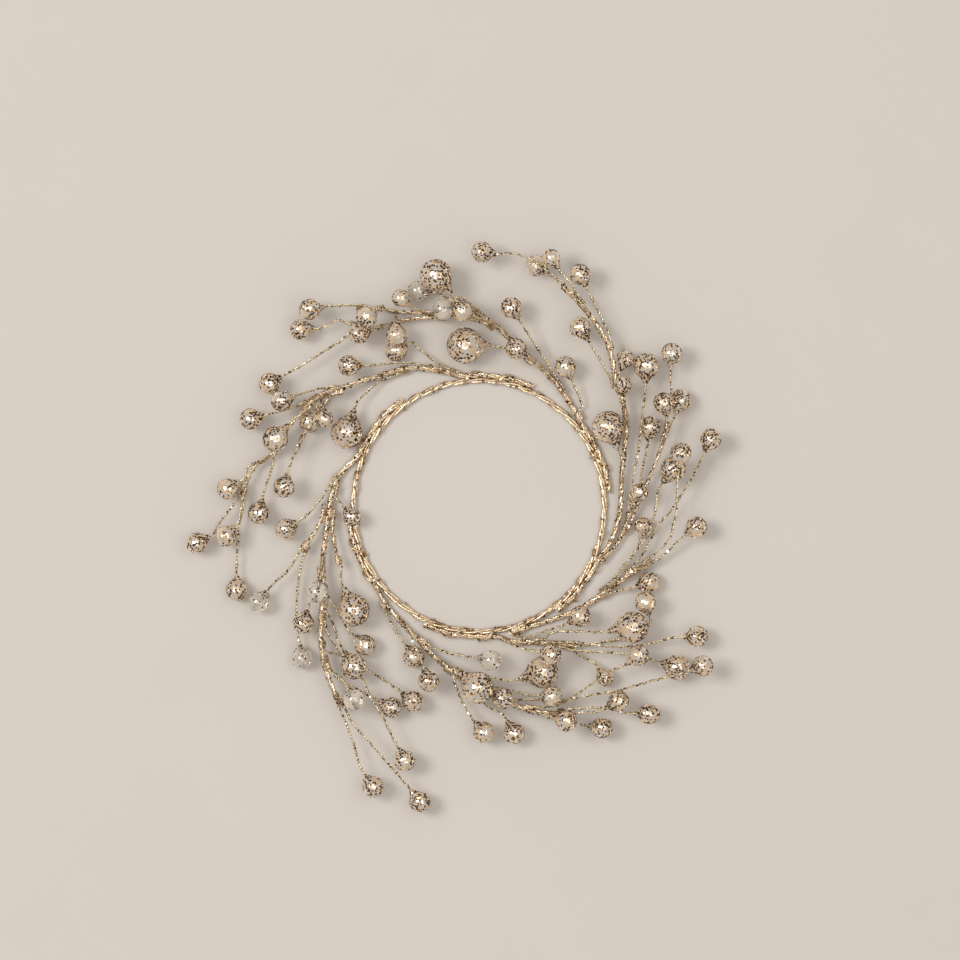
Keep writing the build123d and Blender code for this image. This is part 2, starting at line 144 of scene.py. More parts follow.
class Shader:
    """The node tree of one material."""

    def __init__(self, name: str) -> None:
        """Makes an empty material.

        Args:
            name: The material's name.
        """
        self.material = bpy.data.materials.new(name)
        self.material.use_nodes = True
        self.tree = self.material.node_tree
        self.tree.nodes.clear()

    def node(
        self,
        kind: str,
        settings: dict[str, Any] | None = None,
        inputs: dict[str | int, Any] | None = None,
        output: str | int = 0,
    ) -> Value:
        """Adds a node, sets it up and feeds it.

        Args:
            kind: The node's type.
            settings: Its properties, and "stops" for a ramp's places and colours.
            inputs: Numbers, colours or values for its sockets, by name or place.
            output: The output that is wanted, by name or place.

        Returns:
            That output.
        """
        made = self.tree.nodes.new(kind)
        for name, setting in (settings or {}).items():
            if name == "stops":
                self._set_stops(made.color_ramp, setting)
            else:
                setattr(made, name, setting)
        for name, given in (inputs or {}).items():
            if isinstance(given, Value):
                self.tree.links.new(given.output, made.inputs[name])
            else:
                made.inputs[name].default_value = given
        return Value(self, made.outputs[output])

    @staticmethod
    def _set_stops(ramp: bpy.types.ColorRamp, stops: list[tuple[float, tuple]]) -> None:
        """Gives a ramp its stops.

        Args:
            ramp: The ramp.
            stops: Each stop's place from 0 to 1 and its linear colour.
        """
        while len(ramp.elements) < len(stops):
            ramp.elements.new(1)
        for element, (place, colour) in zip(ramp.elements, stops):
            element.position = place
            element.color = (*colour, 1)

    def blend(self, share: Any, first: Any, second: Any) -> Value:
        """Mixes two colours.

        Args:
            share: How much of the second colour, from 0 to 1.
            first: A colour or value.
            second: A colour or value.

        Returns:
            The mixed colour.
        """
        factor, one, other, result = 0, 6, 7, 2
        given = {factor: share, one: first, other: second}
        return self.node("ShaderNodeMix", {"data_type": "RGBA"}, given, result)

    def surface(self, inputs: dict[str, Any]) -> bpy.types.Material:
        """Ends the tree in a Principled shader.

        Args:
            inputs: The shader's numbers, colours or values by socket name.

        Returns:
            The material.
        """
        shader = self.node("ShaderNodeBsdfPrincipled", {}, inputs)
        end = self.tree.nodes.new("ShaderNodeOutputMaterial")
        self.tree.links.new(shader.output, end.inputs["Surface"])
        return self.material

    def places(self) -> Value:
        """Places on the piece in metres, in the shared frame."""
        return self.node("ShaderNodeTexCoord", output="Object")

    def facets(self, size: float, output: str) -> Value:
        """One output of a pattern of facets of a size in millimetres along each strand."""
        along = self.node("ShaderNodeAttribute", {"attribute_name": STRAND}, output="Vector")
        return self.node("ShaderNodeTexVoronoi", {}, {"Vector": along, "Scale": 1 / size}, output)

    def drawn(self, size: float, output: str = "Red") -> Value:
        """One of the random numbers, from 0 to 1, that each facet of a strand has."""
        return self.node("ShaderNodeSeparateColor", {}, {0: self.facets(size, "Color")}, output)

    def clouds(self, size: float) -> Value:
        """Soft noise from 0 to 1, with patches of a size in millimetres."""
        given = {"Vector": self.places(), "Scale": 1 / (size * MM)}
        return self.node("ShaderNodeTexNoise", {}, given)

    def bump(self, height: Value, depth: float, strength: float) -> Value:
        """The normal of a relief with a depth in millimetres, of which a share shows."""
        given = {"Height": height, "Distance": depth * MM, "Strength": strength}
        return self.node("ShaderNodeBump", {}, given)


def opaque(colour: Colour) -> tuple[float, float, float, float]:
    """A colour with its alpha of 1."""
    return (*colour, 1.0)


# Finishes


@dataclass(frozen=True)
class WireFoil:
    """Metal foil wound on wire: crinkled facets that catch the light one by one.

    The sizes of hues, painted shade and crinkles are shares of the facet's own size. Some facets,
    drawn at random, are painted dark as shade. They stand in for shaded crinkles and crevices.
    """

    name: str
    pale: Colour
    yellow: Colour
    deep: Colour
    painted_shade: Colour
    facet: float
    relief: float
    roughness: float
    painted_shade_share: float
    hue_size: float = 1.7
    painted_shade_size: float = 0.6
    painted_shade_depth: float = 0.8
    crinkle_size: float = 0.5
    crinkle_clouds: float = 0.6
    roughness_swing: float = 0.16
    crispness: float = 0.8

    def material(self) -> bpy.types.Material:
        """Mixes the foil.

        Returns:
            The material.
        """
        shader = Shader(self.name)
        chance = shader.drawn(self.facet)
        hue = shader.drawn(self.facet * self.hue_size, "Blue")
        bright = shader.blend(hue, opaque(self.pale), opaque(self.yellow))
        colour = shader.blend(chance, bright, opaque(self.deep))
        # Painted shade: facets drawn at random are darkened towards the shade colour, standing in
        # for shaded crinkles and crevices between the strands.
        painted_shade_facets = shader.drawn(self.facet * self.painted_shade_size, "Green").above(1 - self.painted_shade_share)
        colour = shader.blend(painted_shade_facets * self.painted_shade_depth, colour, opaque(self.painted_shade))
        crinkle = shader.facets(self.facet * self.crinkle_size, "Distance")
        crinkle += shader.clouds(self.facet * self.crinkle_size) * self.crinkle_clouds
        inputs = {
            "Base Color": colour,
            "Metallic": 1.0,
            "Roughness": chance * self.roughness_swing + self.roughness,
            "Normal": shader.bump(crinkle, self.relief, self.crispness),
        }
        return shader.surface(inputs)


@dataclass(frozen=True)
class Flakes:
    """Cut foil flakes. The tone attribute picks each flake's colour."""

    name: str = "glitter_flakes"
    bronze: Colour = (0.022, 0.008, 0.002)
    brown: Colour = (0.13, 0.052, 0.014)
    gold: Colour = (0.92, 0.66, 0.28)
    rose: Colour = (0.97, 0.82, 0.66)
    pearl: Colour = (0.97, 0.90, 0.84)
    metal: float = 0.85
    roughness: float = 0.2
    roughness_swing: float = 0.15
    dent_size: float = 0.5
    dent_depth: float = 0.03
    crispness: float = 0.5

    def material(self) -> bpy.types.Material:
        """Mixes the flakes' finish.

        Returns:
            The material.
        """
        shader = Shader(self.name)
        tone = shader.node("ShaderNodeAttribute", {"attribute_name": TONE}, output="Fac")
        stops = [(0.0, self.bronze), (DARK_TONES, self.brown), (PALE_TONES, self.gold)]
        stops += [(ROSE_TONE, self.rose), (1.0, self.pearl)]
        colour = shader.node("ShaderNodeValToRGB", {"stops": stops}, {"Fac": tone})
        inputs = {
            "Base Color": colour,
            "Metallic": self.metal,
            "Roughness": (1 - tone) * self.roughness_swing + self.roughness,
            "Normal": shader.bump(shader.clouds(self.dent_size), self.dent_depth, self.crispness),
        }
        return shader.surface(inputs)


@dataclass(frozen=True)
class Resin:
    """Cast resin with pale pearly patches in its tint and a slightly wavy skin."""

    name: str
    glass: Colour
    pearl: Colour
    metal: float
    clearness: float
    roughness: float
    roughness_swing: float = 0.06
    refraction: float = 1.49
    patch_size: float = 1.6
    patch_start: float = 0.38
    patch_slope: float = 4.0
    wave_size: float = 2.5
    wave_depth: float = 0.1
    crispness: float = 0.3

    def material(self) -> bpy.types.Material:
        """Mixes the resin.

        Returns:
            The material.
        """
        shader = Shader(self.name)
        waves = shader.clouds(self.wave_size)
        patches = ((shader.clouds(self.patch_size) - self.patch_start) * self.patch_slope).clipped()
        inputs = {
            "Base Color": shader.blend(patches, opaque(self.glass), opaque(self.pearl)),
            "Metallic": patches * self.metal,
            "Roughness": waves * self.roughness_swing + self.roughness,
            "IOR": self.refraction,
            "Transmission Weight": self.clearness,
            "Normal": shader.bump(waves, self.wave_depth, self.crispness),
        }
        return shader.surface(inputs)


@dataclass(frozen=True)
class Paper:
    """The matt paper that the ring lies on."""

    name: str = "paper"
    colour: Colour = (0.655, 0.601, 0.545)
    paler: float = 1.02
    fibre_size: float = 40.0
    roughness: float = 0.95
    sheen: float = 0.1

    def material(self) -> bpy.types.Material:
        """Mixes the paper's finish.

        Returns:
            The material.
        """
        shader = Shader(self.name)
        fibre = shader.clouds(self.fibre_size)
        paler = tuple(self.paler * part for part in self.colour)
        inputs = {
            "Base Color": shader.blend(fibre, opaque(self.colour), opaque(paler)),
            "Roughness": self.roughness,
            "Specular IOR Level": self.sheen,
        }
        return shader.surface(inputs)


class Finish(Enum):
    """The ring's finishes, each with the name of the slot that it belongs to."""

    FOIL = "gold_foil", WireFoil(
        name="gold_foil_wire",
        pale=(0.97, 0.86, 0.76),
        yellow=(0.95, 0.81, 0.50),
        deep=(0.68, 0.49, 0.31),
        painted_shade=(0.20, 0.11, 0.05),
        facet=2.4,
        relief=0.16,
        roughness=0.18,
        painted_shade_share=0.10,
    )
    THREAD = "gold_thread", WireFoil(
        name="gold_thread_wire",
        pale=(0.94, 0.83, 0.66),
        yellow=(0.92, 0.80, 0.47),
        deep=(0.55, 0.42, 0.24),
        painted_shade=(0.12, 0.07, 0.04),
        facet=1.1,
        relief=0.09,
        roughness=0.20,
        painted_shade_share=0.18,
    )
    FLAKES = "glitter_resin", Flakes()
    COATED = "glitter_resin", Resin(
        name="rolled_resin",
        glass=(0.98, 0.71, 0.43),
        pearl=(1.0, 0.96, 0.90),
        metal=1.0,
        clearness=0.45,
        roughness=0.05,
    )
    CLEAR = "clear_resin", Resin(
        name="clear_resin_drop",
        glass=(0.99, 0.90, 0.78),
        pearl=(1.0, 0.94, 0.86),
        metal=0.25,
        clearness=0.75,
        roughness=0.03,
    )

    def material(self) -> bpy.types.Material:
        """The finish's one material, mixed when it is first asked for."""
        recipe = self.value[1]
        return bpy.data.materials.get(recipe.name) or recipe.material()


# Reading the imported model


def welded(node: str) -> tuple[np.ndarray, np.ndarray]:
    """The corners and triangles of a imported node, with touching corners merged.

    Args:
        node: The node's name.

    Returns:
        The corners in millimetres, and three corner numbers for each triangle.
    """
    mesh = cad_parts[node].data
    corners = np.empty(len(mesh.loops), np.int32)
    mesh.loops.foreach_get("vertex_index", corners)
    rounded = np.round(corner_places(mesh).astype(float) / MM, WELD_DECIMALS)
    places, which = np.unique(rounded, axis=0, return_inverse=True)
    return places, which.ravel()[corners].reshape(-1, 3)


def unit(vectors: np.ndarray) -> np.ndarray:
    """Vectors brought to length 1."""
    return vectors / np.maximum(np.linalg.norm(vectors, axis=-1, keepdims=True), TINY)


def face_normals(points: np.ndarray) -> np.ndarray:
    """Each triangle's normal, twice as long as its area, from the places of its corners."""
    return np.cross(points[:, 1] - points[:, 0], points[:, 2] - points[:, 0])


def outward(places: np.ndarray, triangles: np.ndarray) -> np.ndarray:
    """The direction that each corner faces, by the angles of the triangles round it.

    Args:
        places: The corners.
        triangles: The triangles' corner numbers.

    Returns:
        A unit vector for each corner.
    """
    points = places[triangles]
    faces = unit(face_normals(points))
    totals = np.zeros_like(places)
    for here in range(3):
        ahead = unit(points[:, (here + 1) % 3] - points[:, here])
        behind = unit(points[:, (here + 2) % 3] - points[:, here])
        angles = np.arccos(np.clip((ahead * behind).sum(axis=1), -1, 1))
        np.add.at(totals, triangles[:, here], faces * angles[:, None])
    return unit(totals)


def solids(count: int, triangles: np.ndarray) -> np.ndarray:
    """Numbers the corners by the solid that they belong to.

    Args:
        count: How many corners there are.
        triangles: The triangles' corner numbers.

    Returns:
        The lowest corner number of its solid, for each corner.
    """
    labels = np.arange(count)
    while True:
        least = np.repeat(labels[triangles].min(axis=1), 3)
        fresh = labels.copy()
        np.minimum.at(fresh, triangles.ravel(), least)
        fresh = fresh[fresh]
        if (fresh == labels).all():
            return labels
        labels = fresh


def far_walk(start: int, links: list[list[tuple[int, float]]]) -> np.ndarray:
    """The shortest way from one cell to every other.

    Args:
        start: The first cell.
        links: For each cell, its neighbours and how far they are.

    Returns:
        The way's length to each cell, or -1 where there is none.
    """
    ways = np.full(len(links), -1.0)
    queue = [(0.0, start)]
    while queue:
        way, cell = heappop(queue)
        if ways[cell] >= 0:
            continue
        ways[cell] = way
        for other, length in links[cell]:
            if ways[other] < 0:
                heappush(queue, (way + length, other))
    return ways


def middle_line(centres: np.ndarray, triangles: np.ndarray, usable: np.ndarray) -> np.ndarray:
    """The middle line of one round wire.

    Args:
        centres: For each corner, the point one radius inside the wire.
        triangles: The wire's triangles.
        usable: Which corners lie on the wire's round side.

    Returns:
        Points along the line, from end to end.
    """
    index = np.flatnonzero(usable)
    _, cells = np.unique(np.round(centres[index] / CELL), axis=0, return_inverse=True)
    cells = cells.ravel()
    counts = np.bincount(cells)
    sums = [np.bincount(cells, centres[index, axis]) for axis in range(3)]
    middles = np.stack(sums, axis=1) / counts[:, None]
    cell_of = np.full(len(centres), -1)
    cell_of[index] = cells
    edges = np.concatenate([triangles[:, pair] for pair in ([0, 1], [1, 2], [2, 0])])
    pairs = cell_of[edges]
    pairs = pairs[(pairs.min(axis=1) >= 0) & (pairs[:, 0] != pairs[:, 1])]
    links: list[list[tuple[int, float]]] = [[] for _ in counts]
    for one, other in np.unique(np.sort(pairs, axis=1), axis=0):
        length = float(np.linalg.norm(middles[one] - middles[other]))
        links[one].append((other, length))
        links[other].append((one, length))
    start = int(np.argmax(far_walk(0, links)))
    ways = far_walk(start, links)
    order = np.argsort(ways)
    order = order[ways[order] >= 0]
    ways = ways[order]
    rings = np.cumsum(np.diff(ways, prepend=0.0) > RING_GAP) + np.floor(ways / RING_SPAN)
    _, rings = np.unique(rings, return_inverse=True)
    weights = counts[order]
    line = [np.bincount(rings, middles[order, axis] * weights) for axis in range(3)]
    return np.stack(line, axis=1) / np.bincount(rings, weights)[:, None]


def out_to_ends(line: np.ndarray, places: np.ndarray, radius: float) -> np.ndarray:
    """Lengthens a middle line to the wire's end faces.

    Args:
        line: The middle line.
        places: The wire's corners.
        radius: The wire's radius.

    Returns:
        The line with both ends on the end faces.
    """
    ends = []
    for end, inner in ((line[0], line[2]), (line[-1], line[-3])):
        ahead = unit(end - inner)
        offsets = places - end
        near = np.linalg.norm(offsets, axis=1) < END_REACH * radius
        ends.append(end + ahead * max(0.0, (offsets[near] @ ahead).max()))
    return np.concatenate([ends[:1], line[1:-1], ends[1:]])


def wire_lines(node: str, radius: float) -> list[np.ndarray]:
    """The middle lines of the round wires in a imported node.

    Args:
        node: The node's name.
        radius: The wires' radius.

    Returns:
        One line for each wire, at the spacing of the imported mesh.
    """
    places, triangles = welded(node)
    centres = places - outward(places, triangles) * radius
    labels = solids(len(places), triangles)
    lines = []
    for label in np.unique(labels):
        own = labels == label
        usable = own & (places[:, 2] > FLAT_GUARD)
        line = middle_line(centres, triangles[own[triangles[:, 0]]], usable)
        lines.append(out_to_ends(line, places[own], radius))
    return lines


def lengths_along(line: np.ndarray) -> np.ndarray:
    """How far along a line each of its points is."""
    return np.concatenate([[0.0], np.cumsum(np.linalg.norm(np.diff(line, axis=0), axis=1))])


def evenly(points: np.ndarray, step: float) -> np.ndarray:
    """A smooth line through points, at even steps.

    Args:
        points: The points.
        step: The wanted step.

    Returns:
        The new points, with the same ends.
    """
    eased = points.copy()
    eased[1:-1] = (points[:-2] + 2 * points[1:-1] + points[2:]) / 4
    keep = np.concatenate([[True], np.linalg.norm(np.diff(eased, axis=0), axis=1) > RING_GAP])
    keep[-1] = True
    eased = eased[keep]
    along = lengths_along(eased)
    slopes = np.gradient(eased, along, axis=0)
    wanted = np.linspace(0, along[-1], max(3, int(round(along[-1] / step)) + 1))
    span = np.clip(np.searchsorted(along, wanted, side="right") - 1, 0, len(eased) - 2)
    width = (along[span + 1] - along[span])[:, None]
    share = (wanted - along[span])[:, None] / width
    back = 1 - share
    start = (1 + 2 * share) * back**2 * eased[span] + share * back**2 * width * slopes[span]
    end = (1 + 2 * back) * share**2 * eased[span + 1] - back * share**2 * width * slopes[span + 1]
    return start + end


def carried(points: np.ndarray) -> tuple[np.ndarray, np.ndarray]:
    """Two directions square to a line, carried along it without twist.

    Args:
        points: The line.

    Returns:
        The two directions at each point.
    """
    tangents = unit(np.gradient(points, axis=0))
    side = np.cross(tangents[0], UP)
    if np.linalg.norm(side) < UPRIGHT:
        side = np.cross(tangents[0], ACROSS)
    sides = np.empty_like(points)
    for place, tangent in enumerate(tangents):
        side = unit(side - tangent * side.dot(tangent))
        sides[place] = side
    return sides, np.cross(tangents, sides)


def around(angle: np.ndarray, side: np.ndarray, over: np.ndarray) -> np.ndarray:
    """The direction at an angle from the first of two square directions to the second."""
    return np.cos(angle) * side + np.sin(angle) * over


def corner_places(mesh: bpy.types.Mesh) -> np.ndarray:
    """The places of a mesh's corners.

    Args:
        mesh: The mesh.

    Returns:
        One row for each corner, in metres.
    """
    places = np.empty(len(mesh.vertices) * 3, np.float32)
    mesh.vertices.foreach_get("co", places)
    return places.reshape(-1, 3)


# Making meshes


def only(thing: bpy.types.Object) -> None:
    """Selects one object and makes it the active one.

    Args:
        thing: The object.
    """
    bpy.ops.object.select_all(action="DESELECT")
    thing.select_set(True)
    bpy.context.view_layer.objects.active = thing


def mark_corners(piece: bpy.types.Object, name: str, marks: np.ndarray) -> None:
    """Gives a piece's corners the numbers that its finish reads.

    Args:
        piece: The piece.
        name: The attribute's name.
        marks: For each corner one number, or a row of three.
    """
    kind, field = ("FLOAT_VECTOR", "vector") if marks.ndim == 2 else ("FLOAT", "value")
    attribute = piece.data.attributes.new(name, kind, "POINT")
    attribute.data.foreach_set(field, marks.astype(np.float32).ravel())


def finished(piece: bpy.types.Object, finish: Finish, *nodes: str) -> None:
    """Dresses a piece and ties it to the frame.

    Args:
        piece: The piece.
        finish: Its finish.
        nodes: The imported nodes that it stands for.
    """
    piece.data.materials.clear()
    piece.data.materials.append(finish.material())
    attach(piece, BODY)
    if nodes:
        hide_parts(*nodes)
    stands_for = ", ".join(nodes) or "no node"
    log.info("%s: %d faces for %s", piece.name, len(piece.data.polygons), stands_for)


@dataclass(frozen=True)
class Lay:
    """How foil-covered strands are laid up into one wire."""

    strands: int
    strand_radius: float
    offset: float
    pitch: float
    step: float
    crinkle: float
    taper: float = 0.0
    roundness: int = 1
    tip: float = 0.0
    thread_radius: float = 0.0
    thread_pitch: float = 1.0
    thread_steps: int = 9

    def fullness(self, line: np.ndarray) -> np.ndarray:
        """How full the wire is along its line, as a share of its thickness.

        Args:
            line: The wire's middle line, at even steps.

        Returns:
            A share for each point, which falls along the line and at both of its tips.
        """
        along = lengths_along(line)
        share = 1 - self.taper * along / along[-1]
        if self.tip:
            share *= np.clip(np.minimum(along, along[-1] - along) / self.tip, TIP_SHARE, 1)
        return share

    def thread_line(self, line: np.ndarray) -> np.ndarray:
        """The line of the fine thread that is wound round the laid wire.

        Args:
            line: The wire's middle line, at even steps.

        Returns:
            The thread's line.
        """
        fine = evenly(line, self.thread_pitch / self.thread_steps)
        side, over = carried(fine)
        angle = (2 * pi * np.arange(len(fine)) / self.thread_steps)[:, None]
        reach = (self.offset + self.strand_radius) * self.fullness(fine)[:, None]
        return fine + reach * around(angle, side, over)

    def strand_lines(self, line: np.ndarray, start: float) -> list[np.ndarray]:
        """The lines of the strands of one wire.

        Args:
            line: The wire's middle line, at even steps.
            start: The angle that the first strand starts at.

        Returns:
            One line for each strand.
        """
        side, over = carried(line)
        along = np.linspace(0, 1, len(line))
        turns = 2 * pi * along * len(line) * self.step / self.pitch
        reach = self.offset * self.fullness(line)[:, None]
        lines = []
        for number in range(self.strands):
            angle = (turns + start + 2 * pi * number / self.strands)[:, None]
            lines.append(line + reach * around(angle, side, over))
        return lines

    def closed_lines(self, circle: np.ndarray) -> list[np.ndarray]:
        """The lines of the strands of a wire that joins its own start.

        Args:
            circle: The wire's middle line, a level circle round the Z axis.

        Returns:
            One line for each strand, with a whole number of turns.
        """
        radius = float(np.hypot(circle[0, 0], circle[0, 1]))
        turns = round(2 * pi * radius / self.pitch)
        bearing = np.arctan2(circle[:, 1], circle[:, 0])
        out = around(bearing[:, None], ACROSS, np.cross(UP, ACROSS))
        lines = []
        for number in range(self.strands):
            angle = (turns * bearing + 2 * pi * number / self.strands)[:, None]
            lines.append(circle + self.offset * around(angle, out, UP))
        return lines

    def wire(
        self, name: str, routes: list[np.ndarray], seed: int, closed: bool = False
    ) -> bpy.types.Object:
        """Lays up wires along their routes as one mesh.

        Args:
            name: The piece's name.
            routes: The wires' middle lines.
            seed: The start of the random draws.
            closed: Whether each strand joins its own start.

        Returns:
            The mesh object.
        """
        draw = np.random.default_rng(seed)
        bundle = Bundle(name, self.strand_radius, self.roundness)
        for route in routes:
            if closed:
                line = route
                strands = self.closed_lines(line)
            else:
                line = evenly(route, self.step)
                strands = self.strand_lines(line, draw.uniform(0, 2 * pi))
            fullness = self.fullness(line)
            for strand in strands:
                rough = draw.normal(0, self.crinkle, len(strand))
                bundle.add(strand, fullness * np.clip(1 + rough, THINNEST, THICKEST), closed)
            if self.thread_radius:
                bundle.add(self.thread_line(route), self.thread_radius / self.strand_radius)
        return bundle.tied()


class Bundle:
    """Round strands that become one mesh."""

    def __init__(self, name: str, radius: float, roundness: int) -> None:
        """Starts an empty bundle.

        Args:
            name: The piece's name.
            radius: The strands' radius.
            roundness: How many extra corners a quarter of the strand's section has.
        """
        self.name = name
        self.curve = bpy.data.curves.new(name, "CURVE")
        self.curve.dimensions = "3D"
        self.curve.bevel_depth = radius * MM
        self.curve.bevel_resolution = roundness
        self.marks: list[np.ndarray] = []

    def add(self, line: np.ndarray, swell: np.ndarray | float, closed: bool = False) -> None:
        """Adds one strand.

        Args:
            line: The strand's points.
            swell: The strand's thickness over the bundle's own.
            closed: Whether the strand joins its own start.
        """
        count = len(line)
        spline = self.curve.splines.new("POLY")
        spline.points.add(count - 1)
        spots = np.concatenate([line * MM, np.ones((count, 1))], axis=1)
        spline.points.foreach_set("co", spots.ravel())
        spline.points.foreach_set("radius", np.broadcast_to(swell, count))
        spline.use_cyclic_u = closed
        number = np.full(count, len(self.marks) * STRAND_APART)
        self.marks.append(np.stack([lengths_along(line), number, np.zeros(count)], axis=1))

    def tied(self) -> bpy.types.Object:
        """Makes the mesh, on which each corner knows its strand and its place along it.

        Returns:
            The mesh object.
        """
        piece = bpy.data.objects.new(self.name, self.curve)
        bpy.context.scene.collection.objects.link(piece)
        only(piece)
        bpy.ops.object.convert(target="MESH")
        bpy.ops.object.mode_set(mode="EDIT")
        bpy.ops.mesh.select_all(action="SELECT")
        bpy.ops.mesh.fill_holes(sides=0)
        bpy.ops.object.mode_set(mode="OBJECT")
        bpy.ops.object.shade_smooth()
        marks = np.concatenate(self.marks)
        corners = len(piece.data.vertices) // len(marks)
        mark_corners(piece, STRAND, np.repeat(marks, corners, axis=0))
        return piece


@dataclass(frozen=True)
class Whipping:
    """Fine thread wound round a wire's end and the wire that carries it."""

    thread_radius: float = 0.13
    pitch: float = 0.32
    length: float = 3.4
    turn_steps: int = 14
    roundness: int = 1
    slack: float = 0.5
    carrier_step: float = 0.1
    least_turns: int = 2

    def thread(
        self, wire: np.ndarray, reach: float, carriers: list[tuple[np.ndarray, float]]
    ) -> np.ndarray | None:
        """The thread's line at the end of a wire that lies beside one of its carriers.

        Args:
            wire: The wire's middle line.
            reach: How far the thread lies from it.
            carriers: The other wires' middle lines, and how far the thread lies from each.

        Returns:
            The line, or None where the wire lies beside no carrier.
        """
        ends = []
        for line in (wire, wire[::-1]):
            for carrier, carrier_reach in carriers:
                gap = np.linalg.norm(carrier - line[0], axis=1).min() - reach - carrier_reach
                ends.append((gap, len(ends), line, carrier, carrier_reach))
        gap, _, line, carrier, carrier_reach = min(ends)
        if gap > self.slack:
            return None
        step = self.pitch / self.turn_steps
        fine = evenly(line, step)[: int(self.length / step)]
        nearest = evenly(carrier, self.carrier_step)
        nearest = nearest[np.linalg.norm(nearest - fine[:, None], axis=2).argmin(axis=1)]
        ahead = unit(np.gradient(fine, axis=0))
        across = nearest - fine
        side = unit(across - ahead * (across * ahead).sum(axis=1, keepdims=True))
        angle = (2 * pi * np.arange(len(fine)) / self.turn_steps)[:, None]
        out = around(angle, side, np.cross(ahead, side))
        beside = np.linalg.norm(across, axis=1) < reach + carrier_reach + self.slack
        round_carrier = nearest + carrier_reach * out
        round_wire = fine + reach * out
        return np.where(np.cos(angle) > 0, round_carrier, round_wire)[beside]


@dataclass(frozen=True)
class Pattern:
    """A small mesh that is copied many times: its corners, and each face's corner numbers."""

    places: np.ndarray
    faces: list[tuple[int, ...]]

    @classmethod
    def taken_from(cls, thing: bpy.types.Object) -> "Pattern":
        """Keeps an object's mesh as a pattern and removes the object.

        Args:
            thing: A mesh object modelled in millimetres.

        Returns:
            The pattern.
        """
        places = corner_places(thing.data).astype(float)
        faces = [tuple(face.vertices) for face in thing.data.polygons]
        bpy.data.objects.remove(thing)
        return cls(places, faces)

    def copied(self, name: str, places: np.ndarray, smooth: bool) -> bpy.types.Object:
        """Makes one mesh of many copies.

        Args:
            name: The piece's name.
            places: The corners of each copy in millimetres, copies by corners by 3.
            smooth: Whether the faces shade as one curved skin.

        Returns:
            The mesh object.
        """
        copies, each = places.shape[:2]
        faces = []
        for start in range(0, copies * each, each):
            faces += [tuple(start + corner for corner in face) for face in self.faces]
        mesh = bpy.data.meshes.new(name)
        mesh.from_pydata((places * MM).reshape(-1, 3).tolist(), [], faces)
        mesh.polygons.foreach_set("use_smooth", [smooth] * len(faces))
        piece = bpy.data.objects.new(name, mesh)
        bpy.context.scene.collection.objects.link(piece)
        return piece


# Drops


@dataclass(frozen=True)
class Mould:
    """One size of cast drop. Its reach is from the ball's middle to the mouth of its neck."""

    diameter: float
    reach: float
    mouth_radius: float = 0.85
    neck_angle: float = 40.0
    ball_steps: int = 14
    neck_steps: int = 7

    def outline(self, ball_steps: int, neck_steps: int) -> np.ndarray:
        """The drop's half outline, from its far pole to the rim of its mouth.

        Args:
            ball_steps: The steps round the ball.
            neck_steps: The steps along the neck.

        Returns:
            Each point's distance from the axis, and its place along it.
        """
        radius = self.diameter / 2
        angles = np.linspace(pi, radians(self.neck_angle), ball_steps + 1)
        ball = np.stack([radius * np.sin(angles), radius * np.cos(angles)], axis=1)
        shoulder = ball[-1]
        square = np.array((sin(radians(self.neck_angle)), cos(radians(self.neck_angle))))
        chord = np.array((self.mouth_radius, self.reach)) - shoulder
        bend = chord.dot(chord) / (2 * chord.dot(square))
        middle = shoulder + square * bend
        first = atan2(*(shoulder - middle)[::-1])
        last = atan2(*(shoulder + chord - middle)[::-1])
        sweep = (last - first + pi) % (2 * pi) - pi
        angles = first + sweep * np.linspace(0, 1, neck_steps + 1)[1:]
        neck = middle + abs(bend) * np.stack([np.cos(angles), np.sin(angles)], axis=1)
        outline = np.concatenate([ball, neck])
        outline[0, 0] = 0
        return outline


@dataclass(frozen=True)
class Seat:
    """Where a drop sits: the middle of its ball, the way to its neck, and its mould."""

    middle: np.ndarray
    neck: np.ndarray
    mould: Mould
    waves: np.ndarray

    def lumpy(self, places: np.ndarray) -> np.ndarray:
        """Draws places on the skin in a little, by slow waves, so that it isn't a perfect ball.

        Args:
            places: Places on the skin.

        Returns:
            The new places.
        """
        out = places - self.middle
        height = self.height(out / (self.mould.diameter / 2))
        return places - out * (LUMP_SHARE * (1 + height)[..., None])

    def height(self, directions: np.ndarray) -> np.ndarray:
        """The height of slow waves, from -1 to 1, in directions out from the ball's middle."""
        return np.sin(directions @ self.waves).mean(axis=-1)

    def square(self, roll: float) -> tuple[np.ndarray, np.ndarray]:
        """Two directions square to the drop's axis.

        Args:
            roll: How far they are turned round it, in radians.

        Returns:
            The two directions.
        """
        rough = ACROSS if abs(self.neck[0]) < STEEP else UP
        side = unit(np.cross(self.neck, rough))
        over = np.cross(self.neck, side)
        return around(roll, side, over), around(roll, over, -side)


MOULDS = (Mould(7.6, 5.4), Mould(9.0, 6.2), Mould(10.8, 8.0), Mould(13.6, 10.8), Mould(15.4, 11.4))


